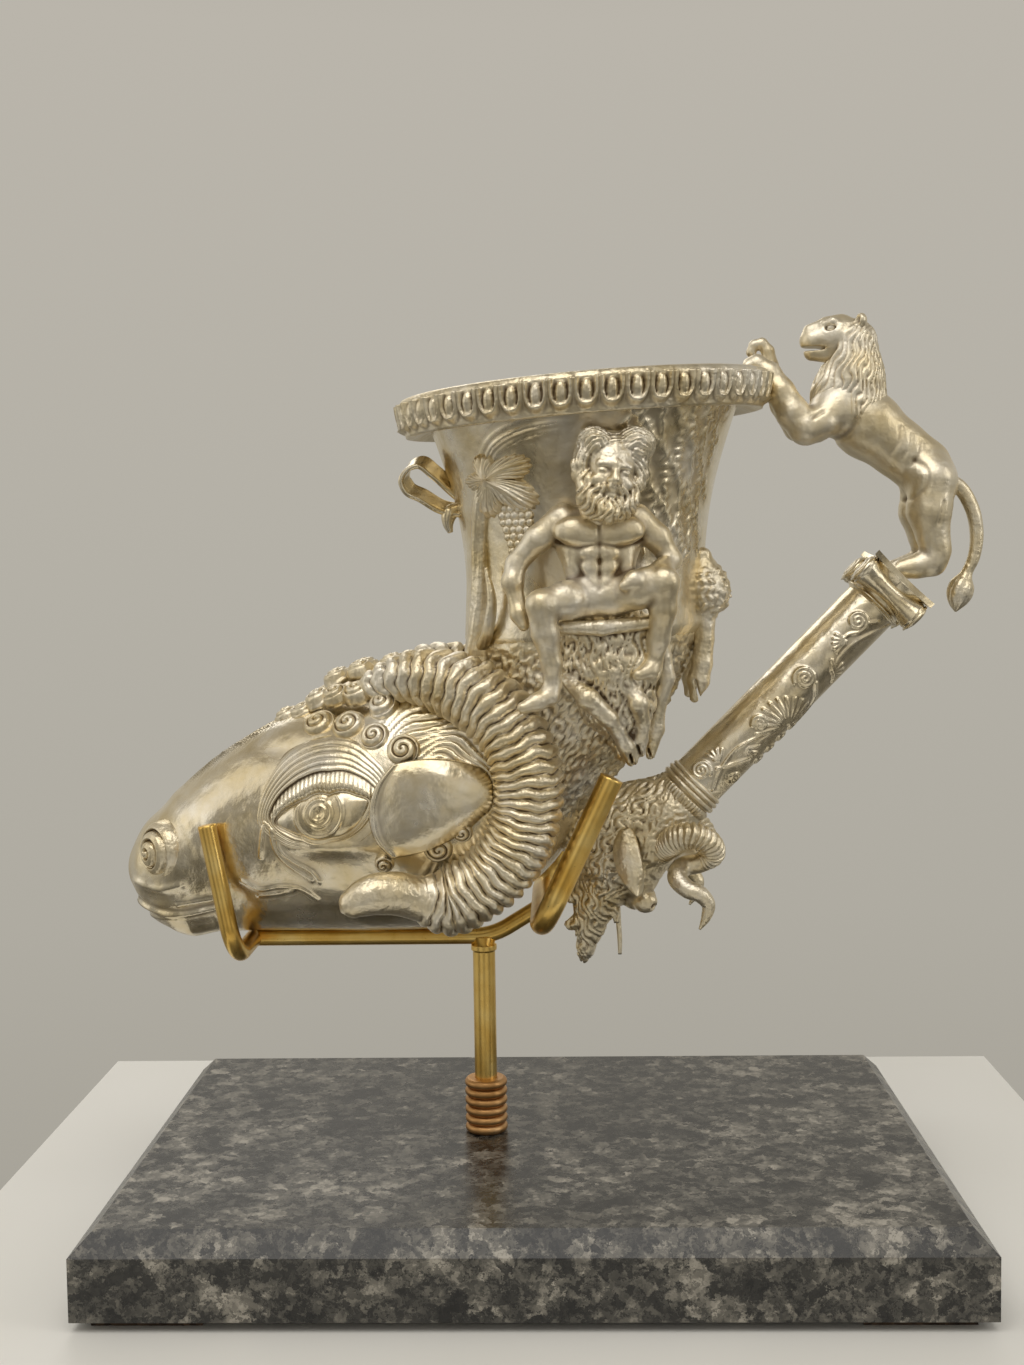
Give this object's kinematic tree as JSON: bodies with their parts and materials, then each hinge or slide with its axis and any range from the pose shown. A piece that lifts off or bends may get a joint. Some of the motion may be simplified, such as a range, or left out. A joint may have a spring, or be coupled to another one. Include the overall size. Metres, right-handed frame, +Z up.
{
  "type": "rhyton drinking cup",
  "caption": "Silver ram's head drinking cup with a flaring beaker, figures, a lion and column handle, lifted from a brass cradle that turns on a granite plinth.",
  "frame": {"origin": "on the table, under the middle of the object's box", "axes": "+Z up, -X towards the ram's muzzle, -Y towards the viewer"},
  "size_m": [0.2272, 0.142, 0.2395],
  "materials": {
    "silver": "cast and chased silver",
    "brass": "satin brass rod",
    "granite": "polished grey granite",
    "pad": "rubberised cork",
    "steel": "plain zinc-plated steel"
  },
  "bodies": {
    "stand": {"granite_plinth": "granite", "foot_pads": "pad", "base_collar": "brass", "fixing_washer": "steel", "fixing_nut": "steel"},
    "cradle": {"cradle_stem": "brass", "cradle_bar": "brass", "front_yoke": "brass", "rear_yoke": "brass"},
    "cup": {"abacus": "silver", "beaker": "silver", "capital": "silver", "column_rings": "silver", "ear_far": "silver", "ear_near": "silver", "eye_far": "silver", "eye_near": "silver", "forehead_curls": "silver", "goat_beard": "silver", "goat_ear_far": "silver", "goat_ear_near": "silver", "goat_head": "silver", "goat_horn_far": "silver", "goat_horn_near": "silver", "goatskin_far": "silver", "goatskin_near": "silver", "grapes_far": "silver", "grapes_near": "silver", "handle_column": "silver", "horn_far": "silver", "horn_near": "silver", "lion_body": "silver", "lion_head": "silver", "lion_tail": "silver", "nostril_far": "silver", "nostril_near": "silver", "ram_head": "silver", "ribbon_loop": "silver", "rim_moulding": "silver", "satyr_far": "silver", "satyr_head_far": "silver", "satyr_head_near": "silver", "satyr_near": "silver", "skin_leg_far": "silver", "skin_leg_near": "silver", "terminal_pin": "silver", "vine_leaf_far": "silver", "vine_leaf_near": "silver", "vine_trunk_far": "silver", "vine_trunk_near": "silver"}
  },
  "joints": [
    {"name": "cradle_swivel", "type": "hinge", "parent": "stand", "child": "cradle", "pos_m": [-0.0194, 0, 0.03], "axis": [0, 0, 1], "continuous": true},
    {"name": "cup_lift", "type": "slide", "parent": "cradle", "child": "cup", "axis": [0, 0, 1], "range_m": [0, 0.06]}
  ]
}
